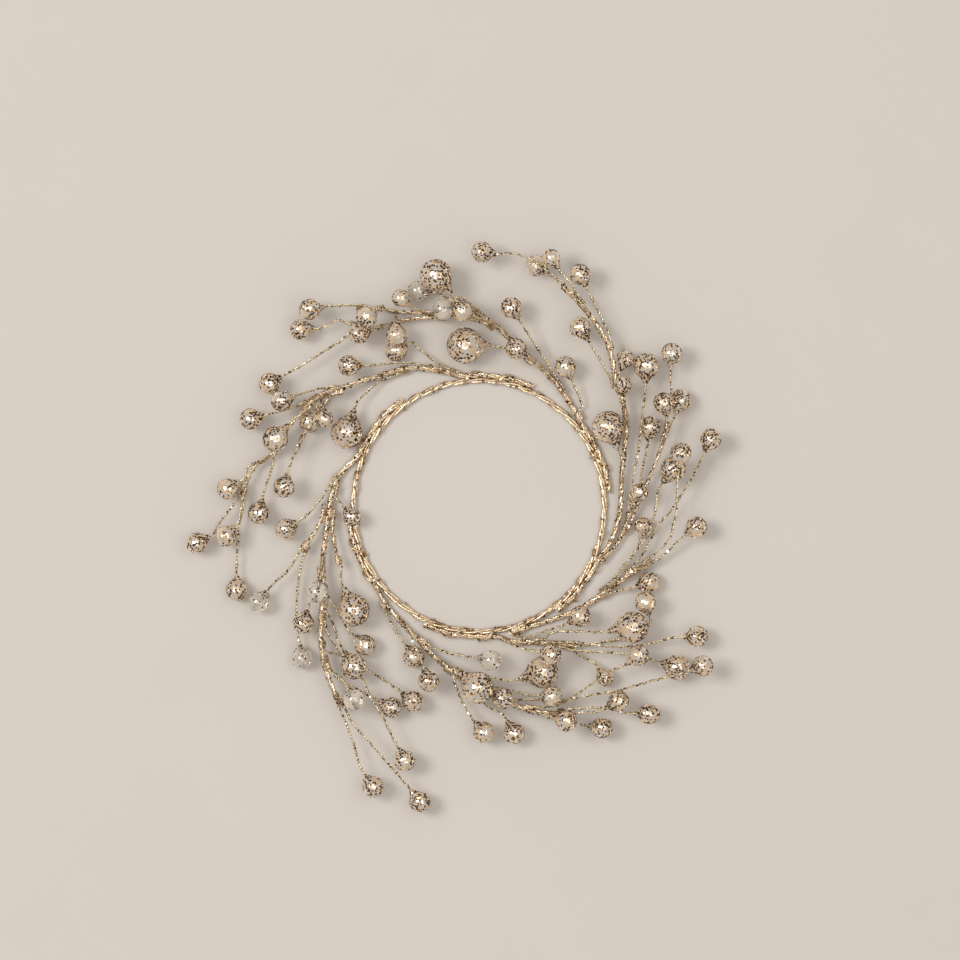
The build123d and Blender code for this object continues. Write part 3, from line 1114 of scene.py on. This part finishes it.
def drop_seats(node: str) -> list[Seat]:
    """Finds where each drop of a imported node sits.

    Args:
        node: The node's name.

    Returns:
        One seat for each drop.
    """
    places, triangles = welded(node)
    labels = solids(len(places), triangles)
    seats = []
    for label in np.unique(labels):
        own = triangles[labels[triangles[:, 0]] == label]
        points = places[own]
        areas = np.linalg.norm(face_normals(points), axis=1)
        spots = points.mean(axis=1)
        middle = np.average(spots, axis=0, weights=areas)
        spread = np.cov((spots - middle).T, aweights=areas)
        axis = np.linalg.eigh(spread)[1][:, -1]
        corners = places[np.unique(own)] - middle
        along = corners @ axis
        wide = np.linalg.norm(corners - along[:, None] * axis, axis=1)
        waist = along[wide > WAIST_SHARE * wide.max()].mean()
        if along.max() - waist < waist - along.min():
            axis, along, waist = -axis, -along, -waist
        length = along.max() - along.min()
        mould = min(MOULDS, key=lambda each: abs(each.reach + each.diameter / 2 - length))
        ball = middle + axis * (along.min() + mould.diameter / 2)
        waves = np.random.default_rng(int(label)).normal(0, LUMP_WAVES, (3, 3))
        seats.append(Seat(ball, axis, mould, waves))
    return seats


@dataclass
class DropShop:
    """Casts the resin drops and rolls them in flakes.

    The skin is how far the resin lies inside a coated drop's outer size. Flakes leave out the
    underside, and gather where a drop's slow waves are high. On the ball they cover one share and
    on the neck another, which takes over along the neck_rise part of the drop's reach.
    """

    skin: float = 0.12
    sides: int = 28
    flake_size: float = 0.9
    flake_thickness: float = 0.05
    flake_width: float = 0.94
    flake_sizes: tuple[float, float] = (0.8, 1.1)
    flake_area: float = 0.6
    flake_tilt: float = 0.09
    flake_lift: float = 0.8
    turn_noise: float = 0.35
    outline_steps: tuple[int, int] = (60, 30)
    neck_rise: tuple[float, float] = (0.45, 0.75)
    underside: float = -0.5
    cluster_middle: float = 0.72
    cluster_swing: float = 0.9
    last_share: float = 0.9999

    def __post_init__(self) -> None:
        """Models one drop of each size and one flake to copy."""
        self.drops = {mould: self._spun(mould) for mould in MOULDS}
        self.flake = self._cut_flake()

    def resin_outline(self, mould: Mould, ball_steps: int, neck_steps: int) -> np.ndarray:
        """The half outline of a drop's resin, which lies a skin inside the drop's outer size."""
        return mould.outline(ball_steps, neck_steps) * (1 - 2 * self.skin / mould.diameter)

    def _spun(self, mould: Mould) -> Pattern:
        """Spins one drop from its half outline.

        Args:
            mould: The drop's mould.

        Returns:
            The drop, with its neck on +Z.
        """
        outline = self.resin_outline(mould, mould.ball_steps, mould.neck_steps)
        outline = np.concatenate([outline, [(0.0, outline[-1, 1])]])
        mesh = bpy.data.meshes.new("drop_outline")
        edges = [(place, place + 1) for place in range(len(outline) - 1)]
        mesh.from_pydata([(wide, 0.0, along) for wide, along in outline], edges, [])
        thing = bpy.data.objects.new("drop_outline", mesh)
        bpy.context.scene.collection.objects.link(thing)
        only(thing)
        bpy.ops.object.mode_set(mode="EDIT")
        bpy.ops.mesh.select_all(action="SELECT")
        bpy.ops.mesh.spin(steps=self.sides, angle=2 * pi, center=(0, 0, 0), axis=(0, 0, 1))
        bpy.ops.mesh.select_all(action="SELECT")
        bpy.ops.mesh.remove_doubles(threshold=self.skin / 10)
        bpy.ops.mesh.normals_make_consistent(inside=False)
        bpy.ops.object.mode_set(mode="OBJECT")
        return Pattern.taken_from(thing)

    def _cut_flake(self) -> Pattern:
        """Cuts one hexagonal flake, a little longer than it is wide.

        Returns:
            The flake, with its face on +Z.
        """
        bpy.ops.object.select_all(action="DESELECT")
        bpy.ops.mesh.primitive_cylinder_add(
            vertices=6, radius=self.flake_size / 2, depth=self.flake_thickness, end_fill_type="NGON"
        )
        bpy.ops.object.mode_set(mode="EDIT")
        bpy.ops.mesh.select_all(action="SELECT")
        bpy.ops.transform.resize(value=(1.0, self.flake_width, 1.0))
        bpy.ops.object.mode_set(mode="OBJECT")
        return Pattern.taken_from(bpy.context.object)

    def cast(self, name: str, seats: list[Seat], draw: np.random.Generator) -> bpy.types.Object:
        """Casts the drops of one node as one mesh.

        Args:
            name: The piece's name.
            seats: Where the drops sit.
            draw: The random draws.

        Returns:
            The mesh object.
        """
        copies = []
        for seat in seats:
            side, over = seat.square(draw.uniform(0, 2 * pi))
            basis = np.stack([side, over, seat.neck])
            copies.append(seat.lumpy(self.drops[seat.mould].places @ basis + seat.middle))
        pattern = self.drops[MOULDS[0]]
        return pattern.copied(name, np.array(copies), True)

    def on_drop(
        self, seat: Seat, share: float, neck_share: float, draw: np.random.Generator
    ) -> tuple[np.ndarray, np.ndarray]:
        """Spreads flakes over a drop.

        Args:
            seat: Where the drop sits.
            share: The flakes' area over the ball's area.
            neck_share: The same on the neck.
            draw: The random draws.

        Returns:
            The flakes' middles and the directions that they face.
        """
        outline = self.resin_outline(seat.mould, *self.outline_steps)
        steps = np.diff(outline, axis=0)
        lengths = np.linalg.norm(steps, axis=1)
        widths = (outline[1:, 0] + outline[:-1, 0]) / 2
        rise = np.interp(outline[1:, 1] / seat.mould.reach, self.neck_rise, (0, 1))
        cover = share + (neck_share - share) * rise
        flake_area = self.flake_area * self.flake_size**2
        totals = np.concatenate([[0.0], np.cumsum(2 * pi * widths * lengths * cover / flake_area)])
        count = int(totals[-1])
        order = np.arange(count) + draw.uniform(0, 1, count)
        order = np.clip(order, 0, totals[-1] * self.last_share)
        span = np.clip(np.searchsorted(totals, order, side="right") - 1, 0, len(steps) - 1)
        in_span = np.maximum(totals[span + 1] - totals[span], TINY)
        within = ((order - totals[span]) / in_span)[:, None]
        spots = outline[span] + steps[span] * within
        facing = unit(np.stack([steps[span, 1], -steps[span, 0]], axis=1))
        noise = draw.uniform(-self.turn_noise, self.turn_noise, count)
        turn = np.arange(count) * GOLDEN_TURN + noise
        out = around(turn[:, None], *seat.square(draw.uniform(0, 2 * pi)))
        middles = seat.lumpy(seat.middle + out * spots[:, :1] + seat.neck * spots[:, 1:])
        faces = out * facing[:, :1] + seat.neck * facing[:, 1:]
        dense = self.cluster_middle + self.cluster_swing * seat.height(faces[:, [1, 2, 0]])
        shown = (faces[:, 2] > self.underside) & (draw.uniform(0, 1, count) < dense)
        return middles[shown], faces[shown]

    def scatter(
        self,
        name: str,
        spots: np.ndarray,
        faces: np.ndarray,
        dark: float,
        draw: np.random.Generator,
    ) -> bpy.types.Object:
        """Sticks flakes on as one mesh.

        Args:
            name: The piece's name.
            spots: The flakes' middles on the skin below them.
            faces: The directions that the skin faces.
            dark: The share of flakes that read dark.
            draw: The random draws.

        Returns:
            The mesh object, with a tone for each flake.
        """
        count = len(spots)
        tilted = unit(faces + draw.normal(0, self.flake_tilt, (count, 3)))
        roll = unit(np.cross(tilted, unit(draw.normal(0, 1, (count, 3)))))
        over = np.cross(tilted, roll)
        sizes = draw.uniform(*self.flake_sizes, count)[:, None]
        basis = np.stack([roll * sizes, over * sizes, tilted], axis=1)
        lifted = spots + faces * (self.flake_thickness * self.flake_lift)
        places = np.einsum("nj,kji->kni", self.flake.places, basis) + lifted[:, None]
        piece = self.flake.copied(name, places, False)
        darker = draw.uniform(0, 1, count) < dark
        dark_tones = draw.uniform(0, DARK_TONES, count)
        tone = np.where(darker, dark_tones, draw.uniform(PALE_TONES, 1, count))
        mark_corners(piece, TONE, np.repeat(tone, len(self.flake.places)))
        return piece


def on_wire(
    line: np.ndarray, reach: float, spacing: float, draw: np.random.Generator
) -> tuple[np.ndarray, np.ndarray]:
    """Strays of glitter along a wire.

    Args:
        line: The wire's middle line.
        reach: How far the flakes lie from it.
        spacing: The wire's length for each flake.
        draw: The random draws.

    Returns:
        The flakes' middles and the directions that they face.
    """
    fine = evenly(line, STRAY_STEP)
    side, over = carried(fine)
    which = draw.integers(1, len(fine) - 1, int(lengths_along(fine)[-1] / spacing))
    angle = draw.uniform(0, 2 * pi, len(which))[:, None]
    faces = around(angle, side[which], over[which])
    spots = fine[which] + faces * reach
    high = spots[:, 2] > 2 * reach
    return spots[high], faces[high]


# The ring's sub-assemblies


@dataclass
class Hoop:
    """The wire hoop and the strand that binds the sprays to it, drawn as flat plies."""

    shop: DropShop
    core_radius: float = 0.8
    strand_radius: float = 0.45
    core_steps: int = 720
    flake_spacing: float = 2.0
    dark_flakes: float = 0.25
    core_lay: Lay = Lay(
        strands=3, strand_radius=0.57, offset=0.64, pitch=22.0, step=0.45, crinkle=0.03, roundness=2
    )
    plies: int = 3
    ply_roundness: int = 2
    ply_radius: float = 0.2
    ply_apart: float = 0.36
    ply_step: float = 0.35
    ply_press: float = 0.25
    core_seed: int = 5
    flake_seed: int = 7

    def circle(self) -> tuple[float, float]:
        """The radius and height of the hoop's middle line."""
        low, high = (np.array(corner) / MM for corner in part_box("hoop_core"))
        return (high[0] - low[0]) / 2 - self.core_radius, (high[2] + low[2]) / 2

    def line(self) -> np.ndarray:
        """Walks once round the hoop.

        Returns:
            The hoop's middle line, from the X axis on.
        """
        radius, height = self.circle()
        bearing = np.linspace(0, 2 * pi, self.core_steps, endpoint=False)
        across, along = radius * np.cos(bearing), radius * np.sin(bearing)
        return np.stack([across, along, np.full(len(bearing), height)], axis=1)

    def core(self) -> None:
        """Lays up the hoop's own strands."""
        piece = self.core_lay.wire("hoop_core_foil", [self.line()], self.core_seed, closed=True)
        finished(piece, Finish.FOIL, "hoop_core")

    def binding(self) -> np.ndarray:
        """Winds the binding as flat plies pressed on what they bind, and flat on the table.

        Returns:
            The strand's middle line.
        """
        route = wire_lines("hoop_binding", self.strand_radius)[0]
        line = evenly(route, self.ply_step)
        radius, height = self.circle()
        core = unit(line * (1, 1, 0)) * radius + UP * height
        away = unit(line - core)
        across = unit(np.cross(unit(np.gradient(line, axis=0)), away))
        bundle = Bundle("hoop_binding_foil", self.ply_radius, self.ply_roundness)
        for place in np.arange(self.plies) - (self.plies - 1) / 2:
            bundle.add(line - away * self.ply_press + across * place * self.ply_apart, 1.0)
        piece = bundle.tied()
        places = corner_places(piece.data)
        places[:, 2] = np.maximum(places[:, 2], 0)
        piece.data.vertices.foreach_set("co", places.ravel())
        piece.data.update()
        finished(piece, Finish.FOIL, "hoop_binding")
        return route

    def build(self) -> None:
        """Builds the hoop."""
        self.core()
        route = self.binding()
        draw = np.random.default_rng(self.flake_seed)
        spots, faces = on_wire(route, self.strand_radius, self.flake_spacing, draw)
        piece = self.shop.scatter("hoop_glitter", spots, faces, self.dark_flakes, draw)
        finished(piece, Finish.FLAKES)


@dataclass
class Spray:
    """One spray: its stem and branches, its twigs, and the drops at their ends.

    A spacing is the wire's length for each stray flake. A cover is the flakes' share of the ball,
    and their share of the neck.
    """

    name: str
    number: int
    hoop: np.ndarray
    shop: DropShop
    hoop_reach: float = 1.1
    whipping: Whipping = Whipping()
    stem_radius: float = 1.25
    branch_radius: float = 0.85
    twig_radius: float = 0.48
    stem_lay: Lay = Lay(
        strands=3,
        strand_radius=0.57,
        offset=0.60,
        pitch=15.0,
        step=0.45,
        crinkle=0.03,
        taper=0.18,
        roundness=2,
        tip=3.0,
        thread_radius=0.11,
        thread_pitch=1.3,
    )
    branch_lay: Lay = Lay(
        strands=2,
        strand_radius=0.43,
        offset=0.36,
        pitch=8.0,
        step=0.4,
        crinkle=0.03,
        taper=0.12,
        roundness=2,
        thread_radius=0.10,
        thread_pitch=1.1,
    )
    twig_lay: Lay = Lay(
        strands=2,
        strand_radius=0.26,
        offset=0.22,
        pitch=3.0,
        step=0.28,
        crinkle=0.05,
    )
    stem_spacing: float = 0.6
    branch_spacing: float = 0.8
    twig_spacing: float = 1.7
    coated_cover: tuple[float, float] = (0.5, 0.8)
    clear_cover: tuple[float, float] = (0.07, 0.5)
    dark_flakes: float = 0.68
    first_seed: int = 100

    def nodes(self, ending: str) -> list[str]:
        """The spray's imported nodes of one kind, if it has any."""
        name = f"{self.name}_{ending}"
        return [name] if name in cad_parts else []

    def wires(self, ending: str, radius: float, lay: Lay, finish: Finish) -> list[np.ndarray]:
        """Lays up the spray's wires of one kind.

        Args:
            ending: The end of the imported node's name.
            radius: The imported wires' radius.
            lay: How the wires are laid up.
            finish: Their finish.

        Returns:
            The wires' middle lines.
        """
        lines = []
        for node in self.nodes(ending):
            lines = wire_lines(node, radius)
            finished(lay.wire(f"{node}_wire", lines, self.number), finish, node)
        return lines

    def whippings(
        self, stems: list[np.ndarray], branches: list[np.ndarray], twigs: list[np.ndarray]
    ) -> None:
        """Ties each wire's root to its carrier with wound thread.

        Args:
            stems: The stems' middle lines.
            branches: The branches' middle lines.
            twigs: The twigs' middle lines.
        """
        whipping = self.whipping
        stem_reach = self.stem_radius - whipping.thread_radius
        carriers = [(line, stem_reach) for line in stems]
        carriers += [(line, self.branch_radius) for line in branches]
        roots = [(line, stem_reach, [(self.hoop, self.hoop_reach)]) for line in stems]
        for number, line in enumerate(branches, len(stems)):
            roots.append((line, self.branch_radius, carriers[:number] + carriers[number + 1 :]))
        roots += [(line, self.twig_radius, carriers) for line in twigs]
        least_points = whipping.least_turns * whipping.turn_steps
        bundle = Bundle(f"{self.name}_whipping", whipping.thread_radius, whipping.roundness)
        for root in roots:
            thread = whipping.thread(*root)
            if thread is not None and len(thread) > least_points:
                bundle.add(thread, 1.0)
        finished(bundle.tied(), Finish.FOIL)

    def drops(self, ending: str, finish: Finish, draw: np.random.Generator) -> list[Seat]:
        """Casts the spray's drops of one kind.

        Args:
            ending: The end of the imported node's name.
            finish: Their finish.
            draw: The random draws.

        Returns:
            Where the drops sit.
        """
        seats = []
        for node in self.nodes(ending):
            seats = drop_seats(node)
            finished(self.shop.cast(f"{node}_resin", seats, draw), finish, node)
        return seats

    def build(self) -> None:
        """Builds the spray."""
        draw = np.random.default_rng(self.first_seed + self.number)
        stems = self.wires("stem", self.stem_radius, self.stem_lay, Finish.FOIL)
        branches = self.wires("branches", self.branch_radius, self.branch_lay, Finish.FOIL)
        twigs = self.wires("twigs", self.twig_radius, self.twig_lay, Finish.THREAD)
        self.whippings(stems, branches, twigs)
        coated = self.drops("berries", Finish.COATED, draw)
        coated += self.drops("large_berries", Finish.COATED, draw)
        clear = self.drops("clear_berries", Finish.CLEAR, draw)
        strays = [(line, self.stem_radius, self.stem_spacing) for line in stems]
        strays += [(line, self.branch_radius, self.branch_spacing) for line in branches]
        strays += [(line, self.twig_radius, self.twig_spacing) for line in twigs]
        flakes = [on_wire(*stray, draw) for stray in strays]
        flakes += [self.shop.on_drop(seat, *self.coated_cover, draw) for seat in coated]
        flakes += [self.shop.on_drop(seat, *self.clear_cover, draw) for seat in clear]
        spots = np.concatenate([each[0] for each in flakes])
        faces = np.concatenate([each[1] for each in flakes])
        piece = self.shop.scatter(f"{self.name}_glitter", spots, faces, self.dark_flakes, draw)
        finished(piece, Finish.FLAKES)


# The studio


@dataclass(frozen=True)
class Lamp:
    """A square soft lamp that is aimed at the ring."""

    name: str
    size: float
    place: tuple[float, float, float]
    power: float
    colour: Colour = (1.0, 0.99, 0.975)

    def hang(self) -> None:
        """Hangs the lamp."""
        light = bpy.data.lights.new(self.name, "AREA")
        light.shape = "SQUARE"
        light.size = self.size
        light.energy = self.power
        light.color = self.colour
        lamp = bpy.data.objects.new(self.name, light)
        lamp.location = self.place
        lamp.rotation_euler = (-Vector(self.place)).to_track_quat("-Z", "Y").to_euler()
        bpy.context.scene.collection.objects.link(lamp)


@dataclass
class Studio:
    """A pale paper floor, soft lamps overhead and a camera that looks straight down."""

    view_width: float = 397.6
    view_middle: tuple[float, float] = (0.41, 10.77)
    view_height: float = 1.5
    lens: float = 300.0
    sensor: float = 36.0
    clip: tuple[float, float] = (0.01, 100.0)
    main_lamp: Lamp = Lamp("soft_lamp", 3.4, (0.6, 0.1, 3.2), 35.5)
    second_lamp: Lamp = Lamp("side_lamp", 1.4, (-2.1, 0.6, 3.4), 66.0)
    sky: Colour = (0.45, 0.446, 0.442)
    floor_size: float = 12.0
    floor_cuts: int = 4

    def floor(self) -> None:
        """Lays the paper."""
        bpy.ops.object.select_all(action="DESELECT")
        bpy.ops.mesh.primitive_grid_add(
            x_subdivisions=self.floor_cuts, y_subdivisions=self.floor_cuts, size=self.floor_size
        )
        paper = bpy.context.object
        paper.name = "paper_floor"
        paper.data.materials.append(Paper().material())

    def world(self) -> None:
        """Fills the room with even light."""
        room = bpy.data.worlds.new("room")
        room.use_nodes = True
        background = room.node_tree.nodes["Background"]
        background.inputs["Color"].default_value = opaque(self.sky)
        background.inputs["Strength"].default_value = 1.0
        bpy.context.scene.world = room
        bpy.context.scene.view_settings.view_transform = "Standard"

    def camera(self) -> None:
        """Sets the camera over the ring."""
        data = bpy.data.cameras.new("camera")
        data.lens = self.lens
        data.sensor_width = self.sensor
        data.clip_start, data.clip_end = self.clip
        distance = self.view_width * self.lens / self.sensor
        place = (*self.view_middle, distance + self.view_height)
        camera = bpy.data.objects.new("camera", data)
        camera.location = [part * MM for part in place]
        bpy.context.scene.collection.objects.link(camera)
        bpy.context.scene.camera = camera

    def build(self) -> None:
        """Sets up the studio."""
        self.floor()
        self.main_lamp.hang()
        self.second_lamp.hang()
        self.world()
        self.camera()


def main() -> None:
    """Builds the ring and its studio in order."""
    logging.basicConfig(level=logging.INFO, format="%(name)s %(message)s")
    Studio().build()
    shop = DropShop()
    hoop = Hoop(shop)
    hoop.build()
    stems = sorted(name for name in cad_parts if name.endswith("_stem"))
    for number, stem in enumerate(stems):
        Spray(stem.removesuffix("_stem"), number, hoop.line(), shop).build()


if __name__ == "__main__":
    main()
